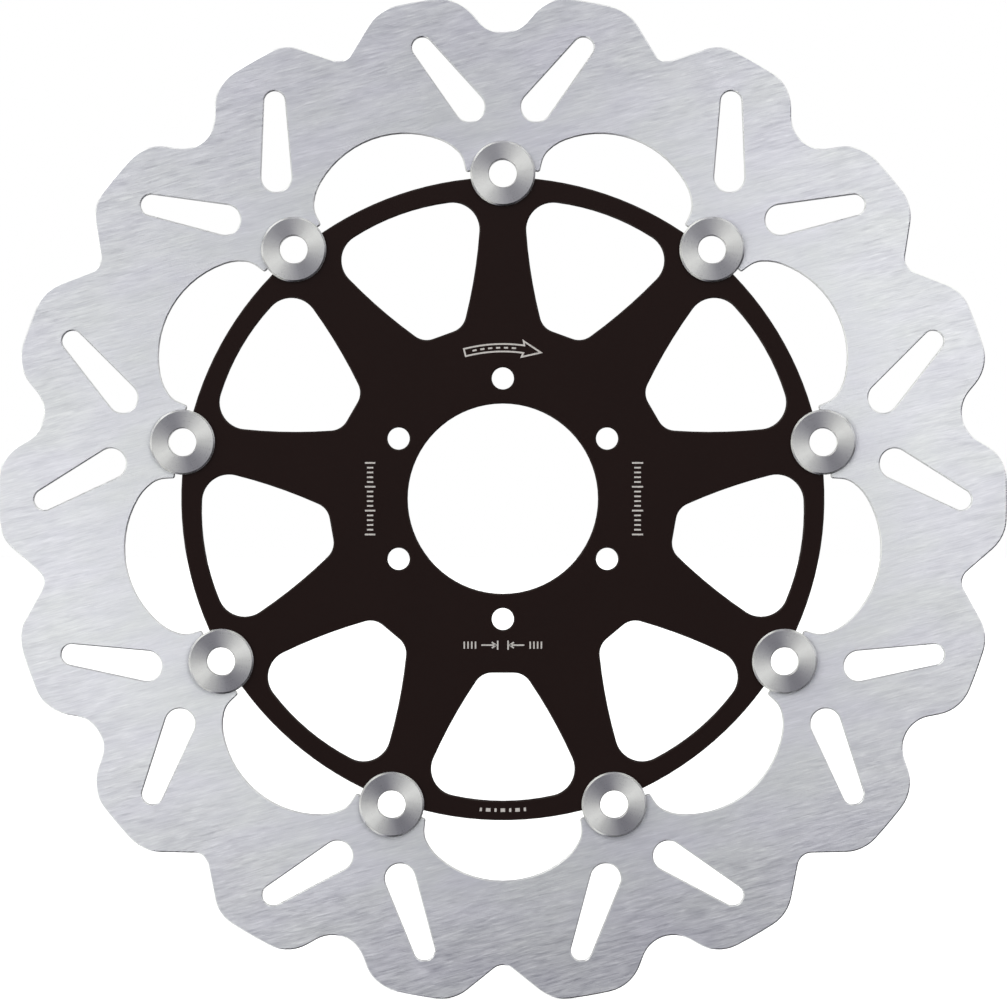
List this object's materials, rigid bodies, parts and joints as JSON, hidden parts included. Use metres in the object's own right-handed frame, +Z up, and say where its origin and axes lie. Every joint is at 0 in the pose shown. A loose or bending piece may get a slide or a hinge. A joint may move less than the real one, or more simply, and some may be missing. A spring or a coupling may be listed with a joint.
{
  "type": "floating wave brake disc",
  "caption": "Motorcycle brake disc with a wavy slotted steel ring floating on a black spoked carrier, joined by round hollow drive buttons.",
  "frame": {"origin": "on the disc's axis, halfway through the brake ring's thickness", "axes": "+Y along the axle towards the wheel hub, so the outer side with the button heads faces -Y; +Z up through one button; +X to the right seen from the outer side"},
  "size_m": [0.31, 0.011, 0.3074],
  "materials": {
    "ring_steel": "fine straight brushing, bright",
    "carrier_black": "black hard anodised, satin",
    "button_steel": "turned face, fine rings",
    "washer_steel": "zinc plated, dull",
    "spring_steel": "spring steel, bright rolled",
    "circlip_black": "phosphated spring steel, dark"
  },
  "bodies": {
    "carrier": {"hub_carrier": "carrier_black"},
    "ring": {"brake_ring": "ring_steel"},
    "button_1": {"drive_button_1": "button_steel", "flat_washer_1": "washer_steel", "wave_spring_1": "spring_steel", "circlip_1": "circlip_black"},
    "button_2": {"drive_button_2": "button_steel", "flat_washer_2": "washer_steel", "wave_spring_2": "spring_steel", "circlip_2": "circlip_black"},
    "button_3": {"drive_button_3": "button_steel", "flat_washer_3": "washer_steel", "wave_spring_3": "spring_steel", "circlip_3": "circlip_black"},
    "button_4": {"drive_button_4": "button_steel", "flat_washer_4": "washer_steel", "wave_spring_4": "spring_steel", "circlip_4": "circlip_black"},
    "button_5": {"drive_button_5": "button_steel", "flat_washer_5": "washer_steel", "wave_spring_5": "spring_steel", "circlip_5": "circlip_black"},
    "button_6": {"drive_button_6": "button_steel", "flat_washer_6": "washer_steel", "wave_spring_6": "spring_steel", "circlip_6": "circlip_black"},
    "button_7": {"drive_button_7": "button_steel", "flat_washer_7": "washer_steel", "wave_spring_7": "spring_steel", "circlip_7": "circlip_black"},
    "button_8": {"drive_button_8": "button_steel", "flat_washer_8": "washer_steel", "wave_spring_8": "spring_steel", "circlip_8": "circlip_black"},
    "button_9": {"drive_button_9": "button_steel", "flat_washer_9": "washer_steel", "wave_spring_9": "spring_steel", "circlip_9": "circlip_black"}
  },
  "joints": [
    {"name": "ring_axial_float", "type": "slide", "parent": "carrier", "child": "ring", "axis": [0, 1, 0], "range_m": [-0.0002, 0.0002]},
    {"name": "button_spin_1", "type": "hinge", "parent": "carrier", "child": "button_1", "pos_m": [0, 0, 0.1], "axis": [0, 1, 0], "continuous": true},
    {"name": "button_spin_2", "type": "hinge", "parent": "carrier", "child": "button_2", "pos_m": [0.06428, 0, 0.0766], "axis": [0, 1, 0], "continuous": true},
    {"name": "button_spin_3", "type": "hinge", "parent": "carrier", "child": "button_3", "pos_m": [0.09848, 0, 0.01736], "axis": [0, 1, 0], "continuous": true},
    {"name": "button_spin_4", "type": "hinge", "parent": "carrier", "child": "button_4", "pos_m": [0.0866, 0, -0.05], "axis": [0, 1, 0], "continuous": true},
    {"name": "button_spin_5", "type": "hinge", "parent": "carrier", "child": "button_5", "pos_m": [0.0342, 0, -0.09397], "axis": [0, 1, 0], "continuous": true},
    {"name": "button_spin_6", "type": "hinge", "parent": "carrier", "child": "button_6", "pos_m": [-0.0342, 0, -0.09397], "axis": [0, 1, 0], "continuous": true},
    {"name": "button_spin_7", "type": "hinge", "parent": "carrier", "child": "button_7", "pos_m": [-0.0866, 0, -0.05], "axis": [0, 1, 0], "continuous": true},
    {"name": "button_spin_8", "type": "hinge", "parent": "carrier", "child": "button_8", "pos_m": [-0.09848, 0, 0.01736], "axis": [0, 1, 0], "continuous": true},
    {"name": "button_spin_9", "type": "hinge", "parent": "carrier", "child": "button_9", "pos_m": [-0.06428, 0, 0.0766], "axis": [0, 1, 0], "continuous": true}
  ]
}
